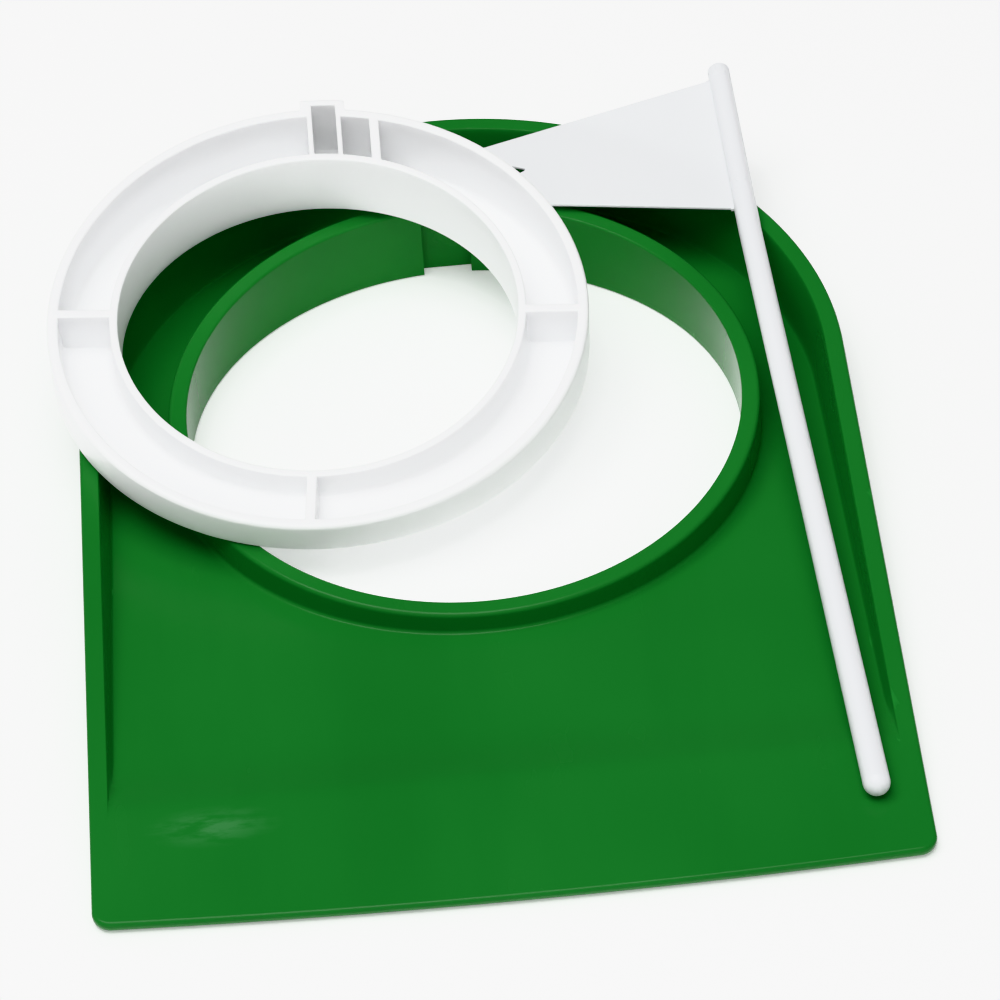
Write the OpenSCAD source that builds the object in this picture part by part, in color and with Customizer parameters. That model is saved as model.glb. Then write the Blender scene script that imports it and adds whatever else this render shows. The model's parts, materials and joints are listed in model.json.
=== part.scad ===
// Indoor putting practice cup, laid out upside down on a table.
// A moulded ramp base lies on its deck, with the loose reducer ring and the
// loose flag resting on its rims. Millimetres, +Z up, origin on the axis of
// the hole where it meets the table.
//
// Every sub-part of the base is drawn in the rim frame, where the collar and
// the skirt stand upright and the deck slants. in_rim_frame() then turns it so
// that the slanted deck lies flat on the table.

/* [Ramp base] */
// Diameter of the hole through the base
hole_d = 108; // [104:1:110]
// Width of the base, and diameter of its round back
base_w = 150; // [146:1:158]
// Centre of the round back, measured behind the hole's axis
back_centre_y = 5.3; // [2:0.1:8]
// Distance from the hole's axis to the middle of the front edge
front_len = 126.3; // [118:0.1:134]
// How far the front edge bows out between its corners
front_bow = 2.2; // [1:0.1:4]
// Radius of the two front corners
corner_r = 3.5; // [2:0.5:6]
// Slope of the ramp in use
ramp_angle = 5.22; // [4:0.01:5.5]
// Thickness of the deck plate
deck_t = 3; // [2:0.1:3.5]
// Where the flat land along the front edge begins
land_y = 98; // [94:1:104]
// Length of the soft step from the land down to the inside of the deck
step_len = 11; // [6:1:16]

/* [Collar] */
// Height of the collar at the hole's axis
collar_h = 12.9; // [12:0.1:15]
// Wall thickness of the collar
collar_t = 3.6; // [3:0.05:4]
// Bevel along the inner edge of the collar's rim
rim_bevel = 0.5; // [0.2:0.05:0.8]
// Width of the keyway in the far side of the hole
key_w = 9.7; // [8:0.1:12]
// Depth of the keyway
key_depth = 2; // [1:0.1:2.4]

/* [Skirt] */
// How far the skirt's rim stands above the collar's rim
skirt_proud = 1.2; // [0.6:0.1:2]
// Width of the skirt's rim
skirt_t = 3.7; // [3:0.1:5]
// Draft of the skirt's inner face, in degrees
skirt_draft = 7; // [1:0.5:8]

/* [Reducer ring] */
// Outer diameter of the ring
ring_d = 105.6; // [102:0.1:107]
// Diameter of the smaller hole
ring_hole_d = 78; // [74:1:80]
// Height of the ring at its axis
ring_h = 11.8; // [10:0.1:14]
// Thickness of the ring's deck
ring_deck_t = 2.3; // [1.5:0.1:3]
// Thickness of the wall round the smaller hole
inner_wall_t = 1.6; // [1.2:0.1:2.4]
// Thickness of the outer wall
outer_wall_t = 2.2; // [1.6:0.1:3]
// Thickness of the ribs
rib_t = 2; // [1.2:0.1:3]
// Offset of the extra rib beside the flag socket
side_rib_x = 10.2; // [9:0.1:14]

/* [Flag socket] */
// Width of the key tab
tab_w = 8.9; // [8.4:0.1:9.4]
// Distance from the ring's axis to the end of the key tab
tab_reach = 55.3; // [55:0.1:55.8]
// Width of the slot that the pole stands in
slot_w = 4.7; // [4.7:0.1:5.2]
// Thickness of the two walls beside the slot
slot_wall_t = 1.1; // [0.8:0.1:1.2]
// Sideways offset of the slot
slot_x = 0.15; // [-0.2:0.05:0.2]
// Distance from the ring's axis to the end of the slot
slot_reach = 53.5; // [53:0.1:54]
// Diameter of the pole hole through the deck at the bottom of the slot
pole_hole_d = 4.6; // [4.5:0.1:4.6]

/* [Flag] */
// Length of the pole
pole_len = 200; // [190:1:202]
// Diameter of the pole
pole_d = 4.5; // [4:0.1:4.6]
// Bare length of pole above the pennant
pole_top = 4.8; // [3:0.1:8]
// Height of the pennant along the pole
hoist = 39.3; // [34:0.1:42]
// Reach of the pennant from the pole's axis to its two tips
fly = 56.4; // [50:0.1:57]
// Distance between the two tips of the swallow tail
tail_w = 14; // [10:0.1:16]
// Depth of the notch between the two tips
tail_notch = 14.3; // [6:0.1:18]
// How far the tail sits above the middle of the hoist
tail_rise = 1.3; // [0:0.1:2]
// Thickness of the pennant
pennant_t = 0.8; // [0.4:0.1:0.8]

/* [Lay-out] */
// Sideways place of the ring's centre
ring_x = -26.9; // [-32:0.1:-26]
// Lengthwise place of the ring's centre
ring_y = 15.45; // [12:0.05:17]
// Height of the ring's centre above the collar's rim
ring_lift = 1.42; // [1.42:0.01:4]
// Turn of the ring about its own axis
ring_turn = -5; // [-12:0.5:2]
// Sideways place of the pole's lower tip
pole_x = 65.4; // [65:0.1:68]
// Lengthwise place of the pole's lower tip
pole_y = -113.4; // [-116:0.1:-110]
// Turn of the pole away from straight ahead
pole_turn = 1.66; // [1:0.01:2]
// Droop of the pennant from the pole towards its tips
pennant_droop = 2.8; // [1:0.1:2.8]
// Air left between pieces that rest on each other
rest_gap = 0.12; // [0.1:0.01:0.4]

/* [Hidden] */
$fn = 96;
slope = tan(ramp_angle);
hole_r = hole_d / 2;
collar_r = hole_r + collar_t;
skirt_r = base_w / 2;
skirt_in_r = skirt_r - skirt_t;
skirt_h = collar_h + skirt_proud;
// lowest point that the slanted shapes are drawn from before they are cut
under = -14;
bow_r = (pow(base_w / 2, 2) + pow(front_bow, 2)) / (2 * front_bow);
bow_centre_y = bow_r - front_len;
corner_x = base_w / 2 - corner_r;
corner_y = bow_centre_y - sqrt(pow(bow_r - corner_r, 2) - pow(corner_x, 2));
ring_r = ring_d / 2;
ring_in_r = ring_hole_d / 2;
inner_wall_r = ring_in_r + inner_wall_t;
outer_wall_r = ring_r - outer_wall_t;
socket_w = slot_w + 2 * slot_wall_t;
// slant of the resting ring, towards +X and towards +Y
ring_slant_x = -0.020;
ring_slant_y = 0.028;
pole_r = pole_d / 2;
// overlap that lets one cut pass right through another shape
cut = 1;

// ---- frames ----

// turns the upright rims so that the slanted deck lies on the table
module in_rim_frame() {
    rotate([ramp_angle, 0, 0]) children();
}

// the ring lies on the base with its own slanted deck down
module in_ring_frame() {
    in_rim_frame()
        translate([ring_x, ring_y, collar_h + ring_lift])
            rotate([atan(ring_slant_y), -atan(ring_slant_x), 0])
                rotate([0, 0, ring_turn])
                    rotate([ramp_angle, 0, 0])
                        children();
}

// the pole lies along +Y from its lower tip, with the pennant on its -X side
module in_flag_frame() {
    in_rim_frame()
        translate([pole_x, pole_y, skirt_h + pole_r + rest_gap])
            rotate([0, 0, pole_turn])
                rotate([0, -pennant_droop, 0])
                    children();
}

// ---- shared shapes ----

// everything between two planes that follow the slanted deck
module slant_slab(low, high, half) {
    translate([-half, 0, 0])
        rotate([90, 0, 90])
            linear_extrude(2 * half)
                polygon([
                    [-half, low + slope * half],
                    [half, low - slope * half],
                    [half, high - slope * half],
                    [-half, high + slope * half]
                ]);
}

module tube(r_in, r_out, height) {
    difference() {
        translate([0, 0, under]) cylinder(r = r_out, h = height - under);
        translate([0, 0, under - cut]) cylinder(r = r_in, h = height - under + 2 * cut);
    }
}

// ---- ramp base ----

// plan of the base: round back, straight sides, bowed front with round corners
module base_plan() {
    translate([0, back_centre_y]) circle(r = skirt_r);
    translate([-skirt_r, corner_y]) square([base_w, back_centre_y - corner_y]);
    intersection() {
        translate([0, bow_centre_y]) circle(r = bow_r, $fn = 1440);
        translate([-corner_x, -front_len - cut])
            square([2 * corner_x, front_len + cut + corner_y]);
    }
    for (side = [-1, 1])
        translate([side * corner_x, corner_y]) circle(r = corner_r);
}

// side profile of the deck, extruded past both sides: a slanted plate that
// steps up to a flat land along the front edge
module deck_profile() {
    reach = front_len + 10;
    step_y = land_y - step_len;
    translate([-base_w, 0, 0])
        rotate([90, 0, 90])
            linear_extrude(2 * base_w)
                polygon([
                    [-reach, slope * reach],
                    [reach, -slope * reach],
                    [reach, deck_t - slope * reach],
                    [-step_y, deck_t + slope * step_y],
                    [-land_y, skirt_h],
                    [-reach, skirt_h]
                ]);
}

module ramp_deck() {
    color("forestgreen")
        in_rim_frame()
            difference() {
                intersection() {
                    deck_profile();
                    translate([0, 0, under]) linear_extrude(skirt_h - under + cut) base_plan();
                }
                translate([0, 0, under - cut]) cylinder(r = collar_r, h = skirt_h - under + 3 * cut);
            }
}

// the hollow inside the skirt, narrower towards the deck by the draft
module skirt_hollow() {
    depth = skirt_h - under;
    shrink = depth * tan(skirt_draft);
    root_r = skirt_in_r - shrink;
    over = cut * tan(skirt_draft);
    translate([0, back_centre_y, under])
        cylinder(r1 = root_r, r2 = skirt_in_r + over, h = depth + cut);
    translate([0, back_centre_y, 0])
        rotate([90, 0, 0])
            linear_extrude(back_centre_y + land_y + cut)
                polygon([
                    [-root_r, under],
                    [root_r, under],
                    [skirt_in_r + over, skirt_h + cut],
                    [-skirt_in_r - over, skirt_h + cut]
                ]);
}

module skirt_wall() {
    color("green")
        in_rim_frame()
            difference() {
                translate([0, 0, under])
                    linear_extrude(skirt_h - under) {
                        translate([0, back_centre_y]) circle(r = skirt_r);
                        translate([-skirt_r, -land_y]) square([base_w, back_centre_y + land_y]);
                    }
                skirt_hollow();
                deck_profile();
                slant_slab(2 * under, deck_t, 2 * base_w);
            }
}

module cup_collar() {
    color("limegreen")
        in_rim_frame()
            difference() {
                tube(hole_r, collar_r, collar_h);
                slant_slab(4 * under, 0, base_w);
                translate([0, 0, collar_h - rim_bevel])
                    cylinder(r1 = hole_r, r2 = hole_r + rim_bevel + cut, h = rim_bevel + cut);
                translate([-key_w / 2, hole_r - 3 * cut, under - cut])
                    cube([key_w, key_depth + 3 * cut, collar_h - under + 2 * cut]);
            }
}

// ---- reducer ring ----

// straight block along +Y through the whole height of the ring, and past its
// rim when it serves as a cut
module radial_block(centre_x, width, reach, over = 0) {
    translate([centre_x - width / 2, 0, under - cut])
        cube([width, reach, ring_h - under + cut + over]);
}

module ring_deck() {
    color("whitesmoke")
        in_ring_frame()
            difference() {
                intersection() {
                    tube(inner_wall_r, outer_wall_r, ring_h);
                    slant_slab(0, ring_deck_t, ring_d);
                }
                radial_block(slot_x, socket_w, ring_r, cut);
            }
}

module ring_inner_wall() {
    color("white")
        in_ring_frame()
            difference() {
                tube(ring_in_r, inner_wall_r, ring_h);
                slant_slab(4 * under, 0, ring_d);
            }
}

module ring_outer_wall() {
    color("white")
        in_ring_frame()
            difference() {
                tube(outer_wall_r, ring_r, ring_h);
                slant_slab(4 * under, 0, ring_d);
                radial_block(0, tab_w, ring_r + cut, cut);
            }
}

// a straight rib across the channel, between the two walls and above the deck
module rib(centre_x) {
    difference() {
        intersection() {
            tube(inner_wall_r, outer_wall_r, ring_h);
            translate([centre_x - rib_t / 2, 0, under])
                cube([rib_t, ring_r, ring_h - under]);
        }
        slant_slab(4 * under, ring_deck_t, ring_d);
    }
}

// a radial rib: the slanted deck does not turn with it
module radial_rib(angle) {
    difference() {
        intersection() {
            tube(inner_wall_r, outer_wall_r, ring_h);
            rotate([0, 0, angle])
                translate([0, -rib_t / 2, under])
                    cube([ring_r, rib_t, ring_h - under]);
        }
        slant_slab(4 * under, ring_deck_t, ring_d);
    }
}

module ring_ribs() {
    color("gainsboro")
        in_ring_frame() {
            for (angle = [0, 180, 270])
                radial_rib(angle);
            rib(side_rib_x);
        }
}

// two thin walls across the channel that open into a slot in the key tab
module flag_socket() {
    hole_y = (inner_wall_r + slot_reach) / 2;
    color("ghostwhite")
        in_ring_frame()
            difference() {
                union() {
                    difference() {
                        radial_block(0, tab_w, tab_reach);
                        translate([0, 0, under - 2 * cut])
                            cylinder(r = outer_wall_r, h = ring_h - under + 4 * cut);
                    }
                    intersection() {
                        radial_block(slot_x, socket_w, ring_r);
                        tube(inner_wall_r, outer_wall_r, ring_h);
                    }
                }
                slant_slab(4 * under, 0, ring_d);
                difference() {
                    translate([slot_x - slot_w / 2, 0, under])
                        cube([slot_w, slot_reach, ring_h - under + cut]);
                    slant_slab(4 * under, ring_deck_t, ring_d);
                }
                translate([slot_x, hole_y, under]) cylinder(d = pole_hole_d, h = ring_h - under);
            }
}

// ---- flag ----

// straight pole with a ball end below and a short domed taper on top
module flag_pole() {
    taper = 0.9;
    top_r = pole_r - 0.7;
    color("white")
        in_flag_frame() {
            translate([0, pole_len - taper, 0]) rotate([-90, 0, 0]) cylinder(r1 = pole_r, r2 = top_r, h = taper);
            translate([0, pole_r, 0]) rotate([-90, 0, 0]) cylinder(r = pole_r, h = pole_len - taper - pole_r);
            translate([0, pole_r, 0]) sphere(r = pole_r);
        }
}

module pennant() {
    hoist_top = pole_len - pole_top;
    hoist_low = hoist_top - hoist;
    tail_y = hoist_low + hoist / 2 + tail_rise;
    color("snow")
        in_flag_frame()
            difference() {
                translate([0, 0, -pennant_t / 2])
                    linear_extrude(pennant_t)
                        polygon([
                            [0, hoist_low],
                            [0, hoist_top],
                            [-fly, tail_y + tail_w / 2],
                            [-fly + tail_notch, tail_y],
                            [-fly, tail_y - tail_w / 2]
                        ]);
                translate([0, hoist_low - cut, 0])
                    rotate([-90, 0, 0])
                        cylinder(r = pole_r, h = hoist + 2 * cut);
            }
}

ramp_deck();
skirt_wall();
cup_collar();
ring_deck();
ring_inner_wall();
ring_outer_wall();
ring_ribs();
flag_socket();
flag_pole();
pennant();
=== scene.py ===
"""Indoor putting practice cup, laid out upside down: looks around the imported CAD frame.

Three mouldings are modelled in full, each as one closed mesh in its own coordinates:
the ramp base, the reducer ring and the flag. Values are in metres.
"""
import json
import math

import bmesh
import bpy
import numpy as np
from mathutils import Matrix, Vector


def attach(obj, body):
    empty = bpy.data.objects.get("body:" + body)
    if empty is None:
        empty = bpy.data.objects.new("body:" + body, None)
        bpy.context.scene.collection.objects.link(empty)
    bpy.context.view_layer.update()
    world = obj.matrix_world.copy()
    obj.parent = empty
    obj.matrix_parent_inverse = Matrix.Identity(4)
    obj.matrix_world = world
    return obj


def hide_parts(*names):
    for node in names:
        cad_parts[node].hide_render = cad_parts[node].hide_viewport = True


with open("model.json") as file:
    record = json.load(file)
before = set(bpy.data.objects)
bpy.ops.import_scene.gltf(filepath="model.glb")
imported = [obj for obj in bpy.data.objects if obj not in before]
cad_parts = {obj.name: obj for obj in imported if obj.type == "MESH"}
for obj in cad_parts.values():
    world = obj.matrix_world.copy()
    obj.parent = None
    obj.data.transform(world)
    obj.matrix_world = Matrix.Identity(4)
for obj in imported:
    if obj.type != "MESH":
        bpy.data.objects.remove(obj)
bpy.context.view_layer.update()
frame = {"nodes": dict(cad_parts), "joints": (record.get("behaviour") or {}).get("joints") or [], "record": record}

record = frame["record"]
mounts = {m["name"]: m for m in record["mounts"]}
joints = {j["name"]: j for j in frame["joints"]}

MM = 0.001

# ---- ramp base, in the rim frame: +Z towards the rims, deck slanting ----
SLOPE = math.tan(math.radians(5.22))
HOLE_R = 54 * MM
COLLAR_R = 57.6 * MM
COLLAR_H = 12.9 * MM
KEY_HALF = 4.85 * MM
KEY_END = 56 * MM
SKIRT_R = 75 * MM
SKIRT_IN_R = 71.3 * MM
SKIRT_H = 14.1 * MM
SKIRT_DRAFT = math.tan(math.radians(7))
BACK_Y = 5.3 * MM
FRONT = 126.3 * MM
BOW = 2.2 * MM
CORNER_R = 3.5 * MM
DECK_T = 3 * MM
LAND_Y = 98 * MM
LIP_EDGE = 1.75 * MM
LIP_FROM, LIP_TO = 105 * MM, 122 * MM
STEP_LEN = 11 * MM
BOW_R = (SKIRT_R ** 2 + BOW ** 2) / (2 * BOW)
BOW_Y = BOW_R - FRONT
CORNER_X = SKIRT_R - CORNER_R
CORNER_Y = BOW_Y - math.sqrt((BOW_R - CORNER_R) ** 2 - CORNER_X ** 2)

# ---- reducer ring, in its own frame: +Z along its axis, key tab towards +Y ----
RING_R = 52.8 * MM
RING_HOLE_R = 39 * MM
RING_H = 11.8 * MM
RING_DECK_T = 2.3 * MM
INNER_WALL_R = 40.6 * MM
OUTER_WALL_R = 50.6 * MM
RIB_HALF = 1 * MM
SIDE_RIB_X = 10.2 * MM
TAB_HALF = 4.45 * MM
TAB_R = 55.3 * MM
# the key tab's rounded outline: half width and reach, from its foot to its end
TAB_EDGE = ((4.8 * MM, 52.84 * MM), (4.6 * MM, 52.92 * MM), (4.52 * MM, 53.1 * MM),
            (4.47 * MM, 55.05 * MM), (4.43 * MM, 55.2 * MM), (4.3 * MM, TAB_R))
SLOT_X = 0.15 * MM
SLOT_HALF = 2.35 * MM
SLOT_WALL = 1.1 * MM
SLOT_END = 53.5 * MM
SLOT_MID = (INNER_WALL_R + SLOT_END) / 2
SOCKET_SKEW = math.tan(math.radians(4.7))
POLE_HOLE_R = 2.28 * MM
POLE_HOLE_STRETCH = 1.4

# ---- flag, in its own frame: pole along +Y from its lower tip, pennant on -X ----
POLE_LEN = 199.0 * MM
POLE_TIP = 0.7 * MM
POLE_R = 2.3 * MM
POLE_FOOT_R = 2.5 * MM
TAPER_END = 95 * MM
CAD_POLE_R = 2.25 * MM
HOIST_TOP = 195.7 * MM
HOIST = 40.1 * MM
FLY = 56.4 * MM
TAIL_W = 14 * MM
TAIL_NOTCH = 14.3 * MM
TAIL_RISE = 0.9 * MM
PENNANT_T = 0.8 * MM
WEB_R = 1.1 * MM
WEB_X = 2.8 * MM
WEB_TAPER = 1.5 * MM
PIN_MARKS = (162.8 * MM, 195.6 * MM)
POLE_SHIFT = 0.37 * MM
POLE_LEAN = 0.0077
BEND_FROM = 146 * MM
BEND_EASE = 6 * MM
BEND_BACK = 0.0215


# ---- frames of the three mouldings, from the record and the CAD nodes ----

def frame_matrix(x_axis, y_axis, z_axis, origin):
    """Matrix that takes a moulding's own coordinates to the row frame."""
    m = Matrix((x_axis, y_axis, z_axis)).transposed().to_4x4()
    m.translation = origin
    return m


def span_along(node, axis):
    """Lowest and highest reach of a CAD node along an axis."""
    reach = [v.co.dot(axis) for v in frame["nodes"][node].data.vertices]
    return min(reach), max(reach)


def middle_along(node, axis):
    return sum(span_along(node, axis)) / 2


def rim_frame():
    up = -Vector(mounts["cup_bore"]["axis"]).normalized()
    right = Vector((1, 0, 0))
    return frame_matrix(right, up.cross(right), up, Vector((0, 0, 0)))


def ring_frame():
    """The ring's axis runs through the middle of its inner wall, and its socket shows +Y."""
    up = Vector(mounts["flag_hole"]["axis"]).normalized()
    side = Vector((1, 0, 0)).cross(up).normalized()
    other = side.cross(up)
    centre = (side * middle_along("ring_inner_wall", side)
              + other * middle_along("ring_inner_wall", other)
              + up * (span_along("ring_inner_wall", up)[1] - RING_H))
    to_hole = Vector(mounts["flag_hole"]["pos_m"]) - centre
    to_hole -= to_hole.dot(up) * up
    turn = Matrix.Rotation(math.asin(SLOT_X / to_hole.length), 3, up)
    along = (turn @ to_hole).normalized()
    return frame_matrix(along.cross(up), along, up, centre)


def flag_frame(rim_up):
    right = Vector(joints["flag_slide"]["axis"]).normalized()
    along = rim_up.cross(right).normalized()
    up = right.cross(along)
    tip = (right * middle_along("flag_pole", right)
           + up * middle_along("flag_pole", up)
           + along * span_along("flag_pole", along)[0])
    return frame_matrix(right, along, up, tip)


RIM = rim_frame()
RING = ring_frame()
FLAG = flag_frame(RIM.to_3x3() @ Vector((0, 0, 1)))


# ---- mesh helpers ----

def quarter(steps):
    """Sines and cosines through a quarter turn, from 0 to 90 degrees."""
    return [(math.sin(k * math.pi / 2 / steps), math.cos(k * math.pi / 2 / steps))
            for k in range(steps + 1)]


def closed_grid(rings):
    """Vertices and faces of a grid that closes on itself both ways."""
    grid = np.array(rings)
    count, around = grid.shape[:2]
    faces = []
    for i in range(count):
        a, b = i * around, ((i + 1) % count) * around
        for j in range(around):
            k = (j + 1) % around
            faces.append((a + j, a + k, b + k, b + j))
    return grid.reshape(-1, 3), faces


def make_object(name, points, faces):
    """A mesh object with its faces turned outwards."""
    mesh = bpy.data.meshes.new(name)
    mesh.from_pydata([tuple(p) for p in points], [], faces)
    bm = bmesh.new()
    bm.from_mesh(mesh)
    if bm.calc_volume(signed=True) < 0:
        bmesh.ops.reverse_faces(bm, faces=bm.faces)
    bm.to_mesh(mesh)
    bm.free()
    mesh.polygons.foreach_set("use_smooth", [True] * len(mesh.polygons))
    obj = bpy.data.objects.new(name, mesh)
    bpy.context.scene.collection.objects.link(obj)
    return obj


def lathe(name, profile, sides, matrix):
    """A turned solid from (radius, height) pairs. The first and last lie on the axis."""
    points = [(0, 0, profile[0][1])]
    for radius, height in profile[1:-1]:
        points += [(radius * math.cos(2 * math.pi * k / sides),
                    radius * math.sin(2 * math.pi * k / sides), height) for k in range(sides)]
    points.append((0, 0, profile[-1][1]))
    last = len(points) - 1
    faces = []
    for k in range(sides):
        n = (k + 1) % sides
        faces.append((0, 1 + n, 1 + k))
        for ring in range(len(profile) - 3):
            a, b = 1 + ring * sides, 1 + (ring + 1) * sides
            faces.append((a + k, a + n, b + n, b + k))
        faces.append((last - sides + k, last - sides + n, last))
    obj = make_object(name, points, faces)
    obj.data.transform(matrix)
    return obj


def combine(obj, others, operation):
    """Joins other closed solids to obj, or cuts them away, and removes them."""
    for other in others:
        m = obj.modifiers.new(operation.lower(), "BOOLEAN")
        m.operation = operation
        m.solver = "EXACT"
        m.object = other
    depsgraph = bpy.context.evaluated_depsgraph_get()
    mesh = bpy.data.meshes.new_from_object(obj.evaluated_get(depsgraph))
    obj.modifiers.clear()
    obj.data = mesh
    for other in others:
        bpy.data.objects.remove(other)
    return obj


def finish_moulding(obj, matrix, body, nodes, material, sharp_angle=50):
    """Places a moulding in the row frame and lets it stand for its CAD nodes."""
    obj.data.transform(matrix)
    obj.data.materials.clear()
    obj.data.materials.append(material)
    obj.data.polygons.foreach_set("use_smooth", [True] * len(obj.data.polygons))
    obj.data.set_sharp_from_angle(angle=math.radians(sharp_angle))
    normals = obj.modifiers.new("even_shading", "WEIGHTED_NORMAL")
    normals.keep_sharp = True
    normals.weight = 80
    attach(obj, body)
    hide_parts(*nodes)


# ---- materials ----

class Nodes:
    """Short calls for building one material."""

    def __init__(self, name):
        self.material = bpy.data.materials.new(name)
        self.material.use_nodes = True
        self.tree = self.material.node_tree
        self.shader = self.tree.nodes["Principled BSDF"]
        self.place = self.tree.nodes.new("ShaderNodeTexCoord").outputs["Object"]

    def link(self, source, target):
        self.tree.links.new(source, target)

    def noise(self, scale, detail=3, roughness=0.5, stretch=(1, 1, 1)):
        mapping = self.tree.nodes.new("ShaderNodeMapping")
        mapping.inputs["Scale"].default_value = stretch
        self.link(self.place, mapping.inputs["Vector"])
        n = self.tree.nodes.new("ShaderNodeTexNoise")
        n.inputs["Scale"].default_value = scale
        n.inputs["Detail"].default_value = detail
        n.inputs["Roughness"].default_value = roughness
        self.link(mapping.outputs["Vector"], n.inputs["Vector"])
        return n.outputs["Fac"]

    def remap(self, source, low, high, to_low, to_high):
        n = self.tree.nodes.new("ShaderNodeMapRange")
        n.inputs["From Min"].default_value = low
        n.inputs["From Max"].default_value = high
        n.inputs["To Min"].default_value = to_low
        n.inputs["To Max"].default_value = to_high
        self.link(source, n.inputs["Value"])
        return n.outputs["Result"]

    def math(self, operation, a, b):
        n = self.tree.nodes.new("ShaderNodeMath")
        n.operation = operation
        for socket, value in zip(n.inputs, (a, b)):
            if isinstance(value, (int, float)):
                socket.default_value = value
            else:
                self.link(value, socket)
        return n.outputs["Value"]

    def mix(self, factor, a, b):
        n = self.tree.nodes.new("ShaderNodeMix")
        n.data_type = "RGBA"
        self.link(factor, n.inputs["Factor"])
        for socket, value in ((n.inputs["A"], a), (n.inputs["B"], b)):
            if isinstance(value, tuple):
                socket.default_value = (*value, 1)
            else:
                self.link(value, socket)
        return n.outputs["Result"]

    def near(self, centre, size):
        """1 at centre, falling to 0 on the ellipsoid of the given half sizes."""
        mapping = self.tree.nodes.new("ShaderNodeMapping")
        mapping.inputs["Scale"].default_value = [1 / s for s in size]
        mapping.inputs["Location"].default_value = [-c / s for c, s in zip(centre, size)]
        self.link(self.place, mapping.inputs["Vector"])
        n = self.tree.nodes.new("ShaderNodeVectorMath")
        n.operation = "LENGTH"
        self.link(mapping.outputs["Vector"], n.inputs[0])
        return self.remap(n.outputs["Value"], 0.25, 1, 1, 0)

    def edges(self, low, high):
        """1 along sharp outer edges, 0 on flats, in hollows and on softly rounded edges."""
        g = self.tree.nodes.new("ShaderNodeNewGeometry")
        return self.remap(g.outputs["Pointiness"], low, high, 0, 1)

    def bump(self, heights, strength, distance):
        n = self.tree.nodes.new("ShaderNodeBump")
        n.inputs["Strength"].default_value = strength
        n.inputs["Distance"].default_value = distance
        self.link(heights, n.inputs["Height"])
        self.link(n.outputs["Normal"], self.shader.inputs["Normal"])


def moulded_plastic(name, deep, fair, edge, rough, scuff_rough, level, grain, glow=0, reach=0,
                    rub=None):
    """Injection-moulded plastic: slow colour drift, flow lines, scuffs, and painted light along sharp edges in the
    edge colour.

    rub is a rubbed patch: its centre, its half sizes and its colour.
    """
    m = Nodes(name)
    drift = m.remap(m.noise(14, 2), 0.35, 0.65, 0, 1)
    flow = m.remap(m.noise(60, 3, 0.6, (1, 0.12, 1)), 0.4, 0.6, 0, 1)
    tone = m.math("ADD", m.math("MULTIPLY", drift, 0.75), m.math("MULTIPLY", flow, 0.25))
    body = m.mix(tone, deep, fair)
    if rub:
        centre, size, colour = rub
        ragged = m.remap(m.noise(220, 4, 0.6, (0.5, 1.6, 1)), 0.4, 0.58, 0, 0.9)
        body = m.mix(m.math("MULTIPLY", m.near(centre, size), ragged), body, colour)
    # painted light: sharp edges take the edge colour, a painted highlight where it is lighter than the body and
    # painted shade where it is darker
    edges = m.edges(0.555, 0.66)
    m.link(m.mix(edges, body, edge), m.shader.inputs["Base Color"])
    scuffs = m.remap(m.noise(90, 3, 0.6, (1, 0.3, 1)), 0.55, 0.85, 0, 1)
    patches = m.remap(m.noise(12, 2, 0.5), 0.3, 0.75, rough, (rough + scuff_rough) / 2)
    worn = m.math("MULTIPLY", scuffs, scuff_rough - rough)
    soft = m.math("MULTIPLY", edges, 0.22)
    m.link(m.math("ADD", m.math("ADD", patches, worn), soft), m.shader.inputs["Roughness"])
    fine = m.noise(900, 2)
    wave = m.noise(35, 2)
    heights = m.math("ADD", m.math("MULTIPLY", fine, 0.15), m.math("MULTIPLY", wave, 0.85))
    m.bump(heights, grain, 0.0006)
    m.shader.inputs["IOR"].default_value = 1.49
    m.shader.inputs["Specular IOR Level"].default_value = level
    m.shader.inputs["Subsurface Weight"].default_value = glow
    m.shader.inputs["Subsurface Radius"].default_value = (1, 1, 1)
    m.shader.inputs["Subsurface Scale"].default_value = reach
    return m.material


RUB_AT = RIM @ Vector((-53 * MM, -104 * MM, SKIRT_H))
RUB = (RUB_AT, (13 * MM, 5 * MM, 5 * MM), (0.062, 0.215, 0.076))
# edge colour (0.030, 0.205, 0.042): painted highlight along the green's sharp edges
green = moulded_plastic("green_plastic", (0.0230, 0.150, 0.0305), (0.0275, 0.172, 0.0360),
                        (0.030, 0.205, 0.042), 0.20, 0.32, 0.13, 0.05, rub=RUB)
# edge colour (0.91, 0.915, 0.93), darker than the body: painted shade along the ring's sharp edges
ring_white = moulded_plastic("white_ring_plastic", (0.945, 0.95, 0.96), (0.96, 0.965, 0.97),
                             (0.91, 0.915, 0.93), 0.28, 0.38, 0.35, 0.04, 0.5, 3 * MM)
# edge colour (0.81, 0.815, 0.83): painted highlight along the flag's sharp edges
flag_white = moulded_plastic("white_flag_plastic", (0.77, 0.78, 0.80), (0.795, 0.805, 0.82),
                             (0.81, 0.815, 0.83), 0.36, 0.46, 0.35, 0.05, 0.3, 3 * MM)


# ---- ramp base ----

def smooth_low(a, b, width):
    """The lower of two heights, with the corner between them rounded."""
    near = np.maximum(width - np.abs(a - b), 0)
    return np.minimum(a, b) - near ** 2 / (4 * width)


def smooth_high(a, b, width):
    near = np.maximum(width - np.abs(a - b), 0)
    return np.maximum(a, b) + near ** 2 / (4 * width)


def deck_under(y):
    return -SLOPE * y


def floor_height(y):
    """Inside of the deck: slanted, with a soft step up to the land along the front."""
    at_step = DECK_T + SLOPE * (LAND_Y - STEP_LEN)
    rise = (SKIRT_H - at_step) / STEP_LEN
    climbing = SKIRT_H - rise * (y + LAND_Y)
    low = smooth_high(DECK_T - SLOPE * y, climbing, 0.9 * MM)
    return smooth_low(low, np.full_like(low, SKIRT_H), 0.6 * MM)


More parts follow.
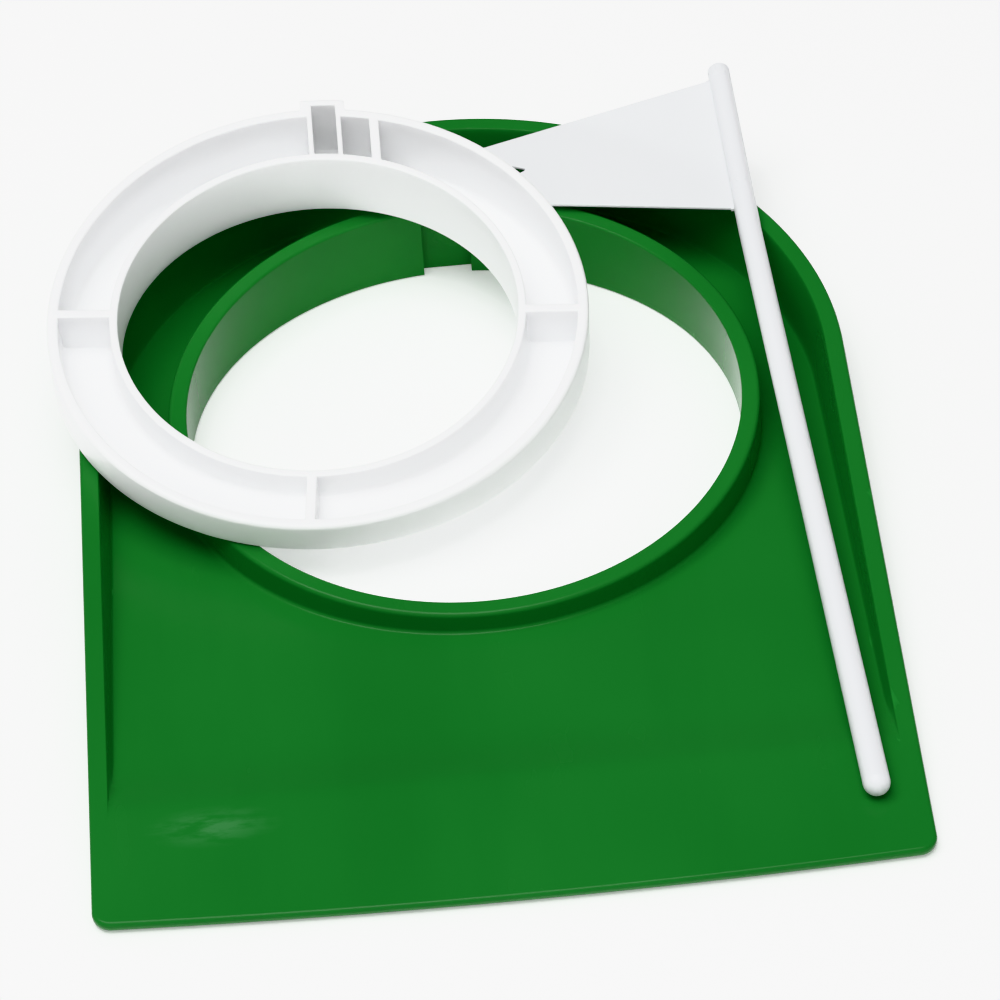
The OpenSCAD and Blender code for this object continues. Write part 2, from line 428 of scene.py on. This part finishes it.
def skirt_depth(x, y):
    """How far a point lies inside the skirt's inner rim."""
    reach = np.where(y > BACK_Y, np.hypot(x, y - BACK_Y), np.abs(x))
    return SKIRT_IN_R - reach


def hollow_height(x, y):
    """Height of the inside of the base between the collar and the skirt's rim."""
    floor = floor_height(y)
    wall = smooth_low(SKIRT_H - skirt_depth(x, y) / SKIRT_DRAFT, np.full_like(x, SKIRT_H), 2.4 * MM)
    top = np.maximum(floor, wall)
    width = np.clip(2 * (SKIRT_H - top), 1e-7, 4.5 * MM)
    return smooth_high(floor, wall, width)


def outline_depth(x, y):
    """How far a point lies inside the outline of the base."""
    x = np.abs(x)
    side = SKIRT_R - np.where(y > BACK_Y, np.hypot(x, y - BACK_Y), x)
    front = BOW_R - np.hypot(x, y - BOW_Y)
    along = np.array([BOW_Y - CORNER_Y, CORNER_X])
    past_front = (x - CORNER_X) * along[0] + (y - CORNER_Y) * along[1] > 0
    at_corner = (y < CORNER_Y) & past_front
    corner = CORNER_R - np.hypot(x - CORNER_X, y - CORNER_Y)
    inside = np.minimum(side, np.where(y < 0, front, side))
    return np.where(at_corner, corner, inside)


def base_angles():
    """Column angles about the hole from its far side, closer together at the corners."""
    angles = list(np.radians(np.arange(0, 360, 0.6)))
    inner_corner = math.atan2(SKIRT_IN_R, -LAND_Y)
    outer_corner = math.atan2(CORNER_X, CORNER_Y)
    key_edges = (math.atan2(KEY_HALF, KEY_END), math.asin(KEY_HALF / HOLE_R))
    for side in (-1, 1):
        for centre, half, step in ((inner_corner, 0.9, 0.1), (outer_corner, 1.4, 0.07)):
            angles += list(side * centre + np.radians(np.arange(-half, half + step / 2, step)))
        angles += [side * a for a in key_edges]
        beside = math.radians(0.08)
        angles += [side * (key_edges[0] - beside), side * (key_edges[1] + beside)]
    angles = np.sort(np.mod(angles, 2 * math.pi))
    keep = np.append(np.diff(angles) > 1e-3, True)
    return angles[keep]


def reach_of(depth, target, sin, cos):
    """Along each column, the distance at which depth(x, y) falls to target."""
    low, high = np.zeros_like(sin), np.full_like(sin, 0.2)
    for _ in range(40):
        mid = (low + high) / 2
        inside = depth(mid * sin, mid * cos) > target
        low, high = np.where(inside, mid, low), np.where(inside, high, mid)
    return low


def bore_reach(angles, sin, cos):
    """Radius of the hole in each column, with the keyway at the far side."""
    turn = np.abs(np.mod(angles + math.pi, 2 * math.pi) - math.pi)
    key_corner = math.atan2(KEY_HALF, KEY_END)
    key_mouth = math.asin(KEY_HALF / HOLE_R)
    r = np.full_like(angles, HOLE_R)
    at_wall = (turn < key_mouth - 1e-6) & (turn >= key_corner - 1e-6)
    r[at_wall] = KEY_HALF / np.abs(sin[at_wall])
    at_end = turn < key_corner - 1e-6
    r[at_end] = KEY_END / cos[at_end]
    return r


def base_mesh():
    angles = base_angles()
    sin, cos = np.sin(angles), np.cos(angles)
    rings = []

    def add(r, height):
        """One ring: height is a number, or a function of x and y."""
        x, y = r * sin, r * cos
        z = height(x, y) if callable(height) else np.full_like(x, height)
        rings.append(np.stack([x, y, z], 1))

    bore = bore_reach(angles, sin, cos)
    hole_edge, rim_in, rim_out, foot = 0.6 * MM, 0.5 * MM, 0.9 * MM, 0.8 * MM
    for s, c in quarter(4):
        add(bore + hole_edge * (1 - s), lambda x, y, c=c: deck_under(y) + hole_edge * (1 - c))
    for part in (0.33, 0.67):
        add(bore, lambda x, y, part=part: (1 - part) * (deck_under(y) + hole_edge) + part * COLLAR_H)
    for s, c in quarter(4):
        add(bore + rim_in * (1 - c), COLLAR_H - rim_in * (1 - s))
    for s, c in quarter(6):
        add(np.full_like(bore, COLLAR_R - rim_out * (1 - s)), COLLAR_H - rim_out * (1 - c))
    spread = 0.25 * MM
    add(np.full_like(bore, COLLAR_R + spread / 2),
        lambda x, y: (COLLAR_H - rim_out + floor_height(y) + foot) / 2)
    for s, c in quarter(5):
        add(np.full_like(bore, COLLAR_R + spread + foot * (1 - c)),
            lambda x, y, s=s: floor_height(y) + foot * (1 - s))

    # the skirt's inner face and the step at the front share one set of rings
    at_rim = reach_of(skirt_depth, 0, sin, cos)
    wall_foot = np.maximum(SKIRT_H - floor_height(at_rim * cos), 0) * SKIRT_DRAFT
    marks = np.array([2.5, 2.3, 2.1, 1.95, 1.8, 1.7, 1.6, 1.5, 1.35, 1.15, 0.9, 0.6,
                      0.35, 0.22, 0.12, 0.05, 0, -0.08, -0.18, -0.3])
    shares = (marks[0] - marks) / (marks[0] - marks[-1])
    forward = cos < -1e-3
    step_from, step_to = -82.5 * MM, -100.8 * MM
    zone = []
    for share in shares:
        depth = wall_foot + 0.9 * MM - share * (wall_foot + 1.2 * MM)
        r = reach_of(skirt_depth, depth, sin, cos)
        line = step_from + share * (step_to - step_from)
        zone.append(np.where(forward, np.minimum(r, line / np.where(forward, cos, -1)), r))
    start = COLLAR_R + spread + foot
    for part in (0.2, 0.45, 0.7):
        add(start + part * (zone[0] - start), hollow_height)
    for r in zone:
        add(r, hollow_height)

    top_edge = 0.75 * MM
    reach = reach_of(outline_depth, 0, sin, cos)
    low_edge = np.interp(-reach * cos, [LIP_FROM, LIP_TO], [1 * MM, LIP_EDGE])
    rim_end = reach_of(outline_depth, top_edge, sin, cos)
    for part in (0.3, 0.65):
        add(zone[-1] + part * (rim_end - zone[-1]), SKIRT_H)
    for s, c in quarter(5):
        add(reach_of(outline_depth, top_edge * (1 - s), sin, cos), SKIRT_H - top_edge * (1 - c))
    add(reach, lambda x, y: (SKIRT_H - top_edge + deck_under(y) + low_edge) / 2)
    for s, c in quarter(5):
        add(reach_of(outline_depth, low_edge * (1 - c), sin, cos),
            lambda x, y, s=s: deck_under(y) + low_edge * (1 - s))
    deck_end = reach_of(outline_depth, low_edge, sin, cos)
    for part in (0.25, 0.5, 0.75):
        add(deck_end + part * (bore + hole_edge - deck_end), lambda x, y: deck_under(y))
    return closed_grid(rings)


finish_moulding(make_object("base_moulding", *base_mesh()), RIM, "base",
                ["ramp_deck", "skirt_wall", "cup_collar"], green)


# ---- reducer ring ----

RING_MID_R = 45.6 * MM
FLAT, FOOT = "flat", "foot"


def rib_marks(low, high, feet=(True, True)):
    """Columns across an upright wall from low to high: (offset, kind, drop or rise)."""
    marks = []
    for edge, away, foot in ((low, -1, feet[0]), (high, 1, feet[1])):
        if foot:
            marks += [(edge + away * 0.5 * MM, FOOT, 0), (edge + away * 0.22 * MM, FOOT, 0.05 * MM),
                      (edge + away * 0.09 * MM, FOOT, 0.18 * MM)]
            marks.append((edge + away * 0.04 * MM, FOOT, 0.45 * MM))
        else:
            marks.append((edge, FOOT, 0))
        marks += [(edge - away * 0.04 * MM, FLAT, 0.24 * MM), (edge - away * 0.1 * MM, FLAT, 0.08 * MM),
                  (edge - away * 0.26 * MM, FLAT, 0)]
    return marks


def ring_columns():
    """Columns (angle, feature angle, offset, share, kind, value) around the ring."""
    socket = []
    slot_low, slot_high = SLOT_X - SLOT_HALF, SLOT_X + SLOT_HALF
    socket += rib_marks(slot_low - SLOT_WALL, slot_low, (True, False))
    socket += rib_marks(slot_high, slot_high + SLOT_WALL, (False, True))
    socket += rib_marks(SIDE_RIB_X - RIB_HALF, SIDE_RIB_X + RIB_HALF)
    for side in (-1, 1):
        for offset in (4.25, 4.4, TAB_HALF / MM, 4.49, 4.56, 4.75):
            socket.append((side * offset * MM, FOOT, 0))
    features = [(math.pi / 2, socket, 12 * MM, 22 * MM)]
    for angle in (0, math.pi, 1.5 * math.pi):
        features.append((angle, rib_marks(-RIB_HALF, RIB_HALF), 2.5 * MM, 10 * MM))
    columns = []
    for angle, marks, _, _ in features:
        for offset, kind, value in marks:
            columns.append((np.mod(angle - math.asin(offset / RING_MID_R), 2 * math.pi), kind, value))
    columns.sort(key=lambda c: c[0])
    filled = []
    first_again = (columns[0][0] + 2 * math.pi, *columns[0][1:])
    for here, following in zip(columns, columns[1:] + [first_again]):
        filled.append(here)
        gap = following[0] - here[0]
        extra = int(gap / math.radians(0.9))
        between_flats = here[1] == FLAT and following[1] == FLAT
        for k in range(extra):
            kind = FLAT if between_flats else FOOT
            filled.append((np.mod(here[0] + gap * (k + 1) / (extra + 1), 2 * math.pi), kind, 0))
    filled.sort(key=lambda c: c[0])
    result = []
    for angle, kind, value in filled:
        feature, _, full, end = min(
            features, key=lambda f: abs(np.mod(f[0] - angle + math.pi, 2 * math.pi) - math.pi))
        offset = RING_MID_R * math.sin(feature - angle)
        if abs(np.mod(feature - angle + math.pi, 2 * math.pi) - math.pi) > math.pi / 3:
            offset = end
        share = min(max((end - abs(offset)) / (end - full), 0), 1)
        result.append((angle, offset, share, kind, value, feature == math.pi / 2))
    return result


def ring_mesh():
    columns = ring_columns()
    angle = np.array([c[0] for c in columns])
    offset = np.array([c[1] for c in columns])
    share = np.array([c[2] for c in columns])
    flat = np.array([c[3] == FLAT for c in columns])
    value = np.array([c[4] for c in columns])
    socket = np.array([c[5] for c in columns])
    rings = []

    def add(r, height, in_channel=False):
        r = np.broadcast_to(np.asarray(r, float), angle.shape)
        askew = np.where(socket, SOCKET_SKEW * (SLOT_MID - r), 0)
        turn = np.arcsin(np.clip((offset + askew) / r, -1, 1))
        base = np.arcsin(np.clip(offset / RING_MID_R, -1, 1))
        a = angle - share * (turn - base)
        x, y = r * np.cos(a), r * np.sin(a)
        z = height(x, y) if callable(height) else np.full_like(x, height)
        if in_channel:
            column = np.where(flat, RING_H - value, channel_floor(x, y) + value)
            z = np.maximum(z, column)
        rings.append(np.stack([x, y, z], 1))

    def channel_floor(x, y):
        return RING_DECK_T - SLOPE * y

    def under(x, y):
        return -SLOPE * y

    def warp(centre_low, centre_high, inside, outside):
        """Radius for the socket's columns, and for all the others."""
        chosen = socket & (offset > centre_low) & (offset < centre_high)
        return np.where(chosen, inside, outside)

    low_edge, rim_edge, foot, soft = 0.35 * MM, 0.35 * MM, 1.1 * MM, 0.9 * MM
    for s, c in quarter(3):
        add(RING_HOLE_R + low_edge * (1 - s), lambda x, y, c=c: under(x, y) + low_edge * (1 - c))
    add(RING_HOLE_R, lambda x, y: (under(x, y) + RING_H) / 2)
    for s, c in quarter(3):
        add(RING_HOLE_R + rim_edge * (1 - c), RING_H - rim_edge * (1 - s))
    for s, c in quarter(3):
        add(INNER_WALL_R - rim_edge * (1 - s), RING_H - rim_edge * (1 - c), True)
    draft = 0.12 * MM
    for s, c in quarter(4):
        add(INNER_WALL_R + draft + foot * (1 - c),
            lambda x, y, s=s: channel_floor(x, y) + foot * (1 - s), True)
    wall = OUTER_WALL_R - draft
    slot_low, slot_high = SLOT_X - SLOT_HALF - 0.3 * MM, SLOT_X + SLOT_HALF + 0.3 * MM
    end = np.where(socket, SLOT_END / np.cos(np.arcsin(np.clip(offset / SLOT_END, -0.9, 0.9))), 0)
    wall = warp(slot_low, slot_high, end - draft, wall)
    for part in (0.25, 0.5, 0.75):
        inner = INNER_WALL_R + draft + foot
        add(inner + part * (wall - foot - inner), channel_floor, True)
    for s, c in quarter(4):
        add(wall - foot * (1 - s), lambda x, y, c=c: channel_floor(x, y) + foot * (1 - c), True)
    for s, c in quarter(3):
        add(wall + draft + rim_edge * (1 - c), RING_H - rim_edge * (1 - s), True)
    out = np.full_like(angle, RING_R)
    for limit, radius in TAB_EDGE:
        out = np.where(socket & (np.abs(offset) < limit), radius, out)
    for s, c in quarter(6):
        add(out - soft * (1 - s), RING_H - soft * (1 - c))
    add(out, lambda x, y: (under(x, y) + RING_H) / 2)
    for s, c in quarter(3):
        add(out - low_edge * (1 - c), lambda x, y, s=s: under(x, y) + low_edge * (1 - s))
    for part in (0.33, 0.67):
        add(out - low_edge + part * (RING_HOLE_R + 2 * low_edge - out), under)
    return closed_grid(rings)


def ring_moulding():
    ring = make_object("ring_moulding", *ring_mesh())
    depth = 12 * MM
    long = Matrix.Translation((SLOT_X, SLOT_MID, 0)) @ Matrix.Diagonal((1, POLE_HOLE_STRETCH, 1, 1))
    cutter = [(0, -depth), (POLE_HOLE_R, -depth), (POLE_HOLE_R, depth / 2), (0, depth / 2)]
    hole = lathe("pole_hole", cutter, 48, long)
    return combine(ring, [hole], "DIFFERENCE")


finish_moulding(ring_moulding(), RING, "reducer_ring",
                ["ring_deck", "ring_inner_wall", "ring_outer_wall", "ring_ribs", "flag_socket"],
                ring_white)


# ---- flag ----

def rounded_outline(corners, radii, steps=5):
    """A closed outline with its corners rounded, as (x, y) points."""
    points = []
    count = len(corners)
    for k, radius in enumerate(radii):
        here = Vector(corners[k])
        to_last = (Vector(corners[k - 1]) - here).normalized()
        to_next = (Vector(corners[(k + 1) % count]) - here).normalized()
        half = to_last.angle(to_next) / 2
        reach = radius / math.tan(half)
        centre = here + (to_last + to_next).normalized() * radius / math.sin(half)
        start, stop = here + to_last * reach - centre, here + to_next * reach - centre
        swing = start.angle_signed(stop)
        for step in range(steps + 1):
            turned = Matrix.Rotation(-swing * step / steps, 2) @ start
            points.append(tuple(centre + turned))
    return points


def plate(name, outline, half_thick, edge):
    """A flat plate with rounded edges, centred on z = 0."""
    count = len(outline)
    inward = []
    for k in range(count):
        before, after = Vector(outline[k - 1]), Vector(outline[(k + 1) % count])
        along = (after - before).normalized()
        inward.append(Vector((-along.y, along.x)))
    area = sum(outline[k - 1][0] * outline[k][1] - outline[k][0] * outline[k - 1][1]
               for k in range(count))
    if area < 0:
        inward = [-v for v in inward]
    levels = [(edge * (1 - s), half_thick - edge * (1 - c)) for s, c in quarter(3)]
    levels += [(inset, -z) for inset, z in reversed(levels)]
    points = []
    for inset, z in levels:
        points += [(p[0] + n.x * inset, p[1] + n.y * inset, z) for p, n in zip(outline, inward)]
    faces = [tuple(range(count)), tuple(reversed(range(len(points) - count, len(points))))]
    for level in range(len(levels) - 1):
        a, b = level * count, (level + 1) * count
        for k in range(count):
            n = (k + 1) % count
            faces.append((a + n, a + k, b + k, b + n))
    return make_object(name, points, faces)


def hoist_web(low, high):
    """Fillet between the pole and both faces of the pennant, tapering out at its ends."""
    half = PENNANT_T / 2
    upper = [(-1.2 * MM, half + WEB_R)]
    upper += [(-WEB_X + WEB_R * s, half + WEB_R * (1 - c)) for s, c in reversed(quarter(6))]
    upper.append((-WEB_X - 0.1 * MM, half - 0.02 * MM))
    section = upper + [(x, -z) for x, z in reversed(upper)]
    count = len(section)
    points = []
    for y, grown in ((low, 0), (low + WEB_TAPER, 1), (high - WEB_TAPER, 1), (high, 0)):
        for x, z in section:
            hidden = math.copysign(half - 0.1 * MM, z)
            points.append((x, y, hidden + grown * (z - hidden)))
    faces = [tuple(range(count)), tuple(reversed(range(3 * count, 4 * count)))]
    for start in range(0, 3 * count, count):
        for k in range(count):
            n = (k + 1) % count
            faces.append((start + k, start + k + count, start + n + count, start + n))
    return make_object("hoist_web", points, faces)


def pole_radius(y):
    """The pole widens slightly towards its foot."""
    return float(np.interp(y, [POLE_TIP, TAPER_END], [POLE_FOOT_R, POLE_R]))


def bend_flag(mesh):
    """The pole is slightly bent below the pennant and lies on its thicker foot."""
    for v in mesh.vertices:
        past = max(v.co.y - BEND_FROM, 0)
        v.co.x += POLE_SHIFT - POLE_LEAN * v.co.y + BEND_BACK * past ** 2 / (past + BEND_EASE)
        v.co.z += pole_radius(v.co.y) - CAD_POLE_R


def flag_moulding():
    top_r, taper = POLE_R - 0.7 * MM, 0.9 * MM
    foot = POLE_FOOT_R
    profile = [(0, POLE_TIP)]
    profile += [(foot * s, POLE_TIP + foot * (1 - c)) for s, c in quarter(8)[1:]]
    profile += [(pole_radius(part * POLE_LEN), part * POLE_LEN)
                for part in (0.04, 0.08, 0.15, 0.22, 0.3, 0.4, 0.475, 0.55, 0.65, 0.75, 0.85)]
    profile += [(POLE_R, POLE_LEN - taper - 0.25 * MM),
                (POLE_R - 0.06 * MM, POLE_LEN - taper + 0.02 * MM),
                (top_r + 0.12 * MM, POLE_LEN - 0.22 * MM),
                (top_r - 0.12 * MM, POLE_LEN - 0.07 * MM),
                (top_r / 2, POLE_LEN - 0.01 * MM), (0, POLE_LEN)]
    along_y = Matrix.Rotation(math.radians(-90), 4, "X")
    pole = lathe("flag_moulding", profile, 64, along_y)
    low = HOIST_TOP - HOIST
    tail_y = low + HOIST / 2 + TAIL_RISE
    corners = [(-0.2 * MM, low), (-0.2 * MM, HOIST_TOP), (-FLY, tail_y + TAIL_W / 2),
               (-FLY + TAIL_NOTCH, tail_y), (-FLY, tail_y - TAIL_W / 2)]
    outline = rounded_outline(corners, [0.3 * MM, 0.3 * MM, 0.5 * MM, 0.4 * MM, 0.5 * MM])
    pennant = plate("pennant_plate", outline, PENNANT_T / 2, 0.3 * MM)
    web = hoist_web(low + 0.35 * MM, HOIST_TOP - 0.35 * MM)
    marks = []
    for y in PIN_MARKS:
        pin = [(0, POLE_R / 2), (1.15 * MM, POLE_R / 2), (1.15 * MM, POLE_R - 0.1 * MM),
               (1.08 * MM, POLE_R - 0.04 * MM), (0, POLE_R - 0.04 * MM)]
        marks.append(lathe("pin_mark", pin, 32, Matrix.Translation((0, y, 0))))
    flag = combine(pole, [pennant, web] + marks, "UNION")
    bend_flag(flag.data)
    return flag


finish_moulding(flag_moulding(), FLAG, "flag", ["flag_pole", "pennant"],
                flag_white)


# ---- stage, light and camera ----

def add_floor():
    mesh = bpy.data.meshes.new("floor")
    mesh.from_pydata([(-3, -3, 0), (3, -3, 0), (3, 3, 0), (-3, 3, 0)], [], [(0, 1, 2, 3)])
    floor = bpy.data.objects.new("floor", mesh)
    bpy.context.scene.collection.objects.link(floor)
    m = Nodes("floor_white")
    m.link(m.mix(m.noise(4, 2), (0.93, 0.93, 0.93), (0.96, 0.96, 0.96)), m.shader.inputs["Base Color"])
    m.shader.inputs["Roughness"].default_value = 0.7
    m.shader.inputs["Specular IOR Level"].default_value = 0.2
    m.shader.inputs["Emission Color"].default_value = (1, 1, 1, 1)
    m.shader.inputs["Emission Strength"].default_value = 0.3
    floor.data.materials.append(m.material)


def add_light(name, place, target, width, height, watts):
    data = bpy.data.lights.new(name, "AREA")
    data.shape = "RECTANGLE"
    data.size, data.size_y = width, height
    data.energy = watts
    light = bpy.data.objects.new(name, data)
    bpy.context.scene.collection.objects.link(light)
    aim = Vector(target) - Vector(place)
    light.matrix_world = Matrix.Translation(place) @ aim.to_track_quat("-Z", "Y").to_matrix().to_4x4()


def add_world(front, back):
    """White surroundings, brighter on the camera's side than beyond the object."""
    world = bpy.data.worlds.new("studio")
    bpy.context.scene.world = world
    world.use_nodes = True
    nodes, links = world.node_tree.nodes, world.node_tree.links
    nodes["Background"].inputs["Color"].default_value = (1, 1, 1, 1)
    split = nodes.new("ShaderNodeSeparateXYZ")
    fade = nodes.new("ShaderNodeMapRange")
    fade.inputs["From Min"].default_value = -0.7
    fade.inputs["From Max"].default_value = 0.6
    fade.inputs["To Min"].default_value = front
    fade.inputs["To Max"].default_value = back
    links.new(nodes.new("ShaderNodeTexCoord").outputs["Generated"], split.inputs["Vector"])
    links.new(split.outputs["Y"], fade.inputs["Value"])
    links.new(fade.outputs["Result"], nodes["Background"].inputs["Strength"])


def add_camera():
    """Camera at the viewing angle of a hand-held product shot: 41 degrees above the table."""
    azimuth, elevation, roll = math.radians(1.88), math.radians(46.13), math.radians(-3.84)
    forward = Vector((math.sin(azimuth) * math.cos(elevation),
                      math.cos(azimuth) * math.cos(elevation), -math.sin(elevation)))
    right = Vector((math.cos(azimuth), -math.sin(azimuth), 0))
    above = right.cross(forward)
    rolled_right = math.cos(roll) * right + math.sin(roll) * above
    rolled_above = -math.sin(roll) * right + math.cos(roll) * above
    place = Vector((-0.01548, -0.64599, 0.64246 + COLLAR_H))
    data = bpy.data.cameras.new("camera")
    data.sensor_width = 36
    data.lens = 168.6
    camera = bpy.data.objects.new("camera", data)
    bpy.context.scene.collection.objects.link(camera)
    camera.matrix_world = RIM @ frame_matrix(rolled_right, rolled_above, -forward, place)
    bpy.context.scene.camera = camera


bpy.context.scene.view_settings.view_transform = "Khronos PBR Neutral"
add_floor()
add_world(0.34, 0.15)
add_light("overhead", (-0.22, -0.24, 1.28), (0, 0, 0), 1.2, 0.85, 20.5)
add_light("front_fill", (-0.4, -1.2, 0.8), (0, 0, 0), 1.1, 0.7, 1.5)
add_camera()
